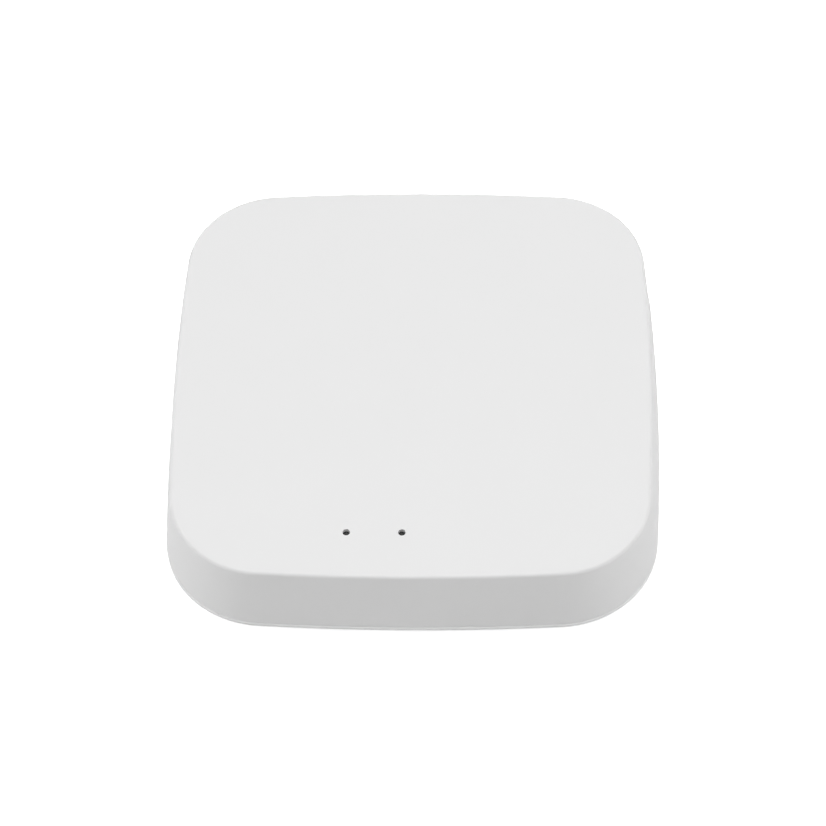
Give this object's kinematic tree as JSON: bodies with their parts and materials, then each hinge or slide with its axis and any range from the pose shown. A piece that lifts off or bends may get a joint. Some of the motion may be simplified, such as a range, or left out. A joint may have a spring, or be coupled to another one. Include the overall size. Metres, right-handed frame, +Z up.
{
  "type": "smart home hub",
  "caption": "Palm-size square hub with bowed sides, rounded corners, two indicator holes in its flat top, rear power inlet and pairing button, rubber feet.",
  "frame": {"origin": "middle of the footprint, on the surface that the four feet rest on", "axes": "+Z up through the flat top; -Y towards the front edge, near the two indicator holes; +Y towards the rear wall with the power inlet and the pairing button; +X to the right when seen from the front"},
  "size_m": [0.062, 0.062, 0.012],
  "materials": {
    "white_shell": "satin, very fine moulded texture",
    "white_base": "satin, very fine moulded texture",
    "white_button": "satin",
    "foot_rubber": "matt",
    "label_film": "satin film, blank",
    "screw_steel": "zinc plated",
    "board_green": "solder mask over glass fibre",
    "module_blue": "solder mask over glass fibre",
    "tinned_steel": "tin plated",
    "chip_black": "moulded epoxy",
    "solder_tin": "tin",
    "copper_track": "copper under solder mask",
    "capacitor_ceramic": "fired ceramic",
    "resistor_black": "glazed top",
    "fuse_polymer": "polymer",
    "capacitor_aluminium": "drawn can",
    "inductor_ferrite": "ferrite",
    "crystal_ceramic": "fired ceramic",
    "crystal_lid_metal": "plated lid",
    "led_resin": "clear resin on ceramic",
    "smoked_light_guide": "smoked clear",
    "black_silicone": "matt",
    "nickel_steel": "nickel plated",
    "gold_contact": "gold flash",
    "socket_black": "glass filled",
    "switch_plunger_black": "moulded",
    "spring_steel": "spring leaf"
  },
  "bodies": {
    "root": {"base_cover": "white_base", "capacitor_bases": "socket_black", "capacitor_cans": "capacitor_aluminium", "case_screws": "screw_steel", "ceramic_capacitor_chips": "capacitor_ceramic", "ceramic_capacitor_ends": "solder_tin", "crystal_base": "crystal_ceramic", "crystal_lid": "crystal_lid_metal", "foot_front_left": "foot_rubber", "foot_front_right": "foot_rubber", "foot_rear_left": "foot_rubber", "foot_rear_right": "foot_rubber", "input_fuse": "fuse_polymer", "input_fuse_ends": "solder_tin", "light_shield": "black_silicone", "main_board": "board_green", "memory_chip_body": "chip_black", "memory_chip_leads": "solder_tin", "mesh_radio_aerial": "copper_track", "mesh_radio_chip": "chip_black", "mesh_radio_module_board": "module_blue", "mesh_radio_shield_can": "tinned_steel", "mesh_radio_solder_joints": "solder_tin", "network_led": "led_resin", "network_light_guide": "smoked_light_guide", "pairing_led": "led_resin", "pairing_light_guide": "smoked_light_guide", "power_inductor": "inductor_ferrite", "rating_label": "label_film", "regulator_body": "chip_black", "regulator_leads": "solder_tin", "resistor_chips": "resistor_black", "resistor_ends": "solder_tin", "surge_diode": "chip_black", "surge_diode_ends": "solder_tin", "switch_cover": "nickel_steel", "switch_dome": "spring_steel", "switch_housing": "socket_black", "switch_terminals": "solder_tin", "top_shell": "white_shell", "transistor_bodies": "chip_black", "transistor_leads": "solder_tin", "usb_contacts": "gold_contact", "usb_insulator": "socket_black", "usb_shell": "nickel_steel", "wifi_aerial": "copper_track", "wifi_chip": "chip_black", "wifi_module_board": "module_blue", "wifi_shield_can": "tinned_steel", "wifi_solder_joints": "solder_tin"},
    "pairing_button": {"button_cap": "white_button"},
    "switch_plunger_body": {"switch_plunger": "switch_plunger_black"}
  },
  "joints": [
    {"name": "button_press", "type": "slide", "parent": "root", "child": "pairing_button", "axis": [0, -1, 0], "range_m": [0, 0.0004], "stiffness_N_per_m": 1000},
    {"name": "plunger_press", "type": "slide", "parent": "root", "child": "switch_plunger_body", "axis": [0, -1, 0], "range_m": [0, 0.0004], "deforming": ["switch_dome"]}
  ],
  "couplings": [
    {"joint": "plunger_press", "follows": "button_press", "ratio": 1}
  ]
}
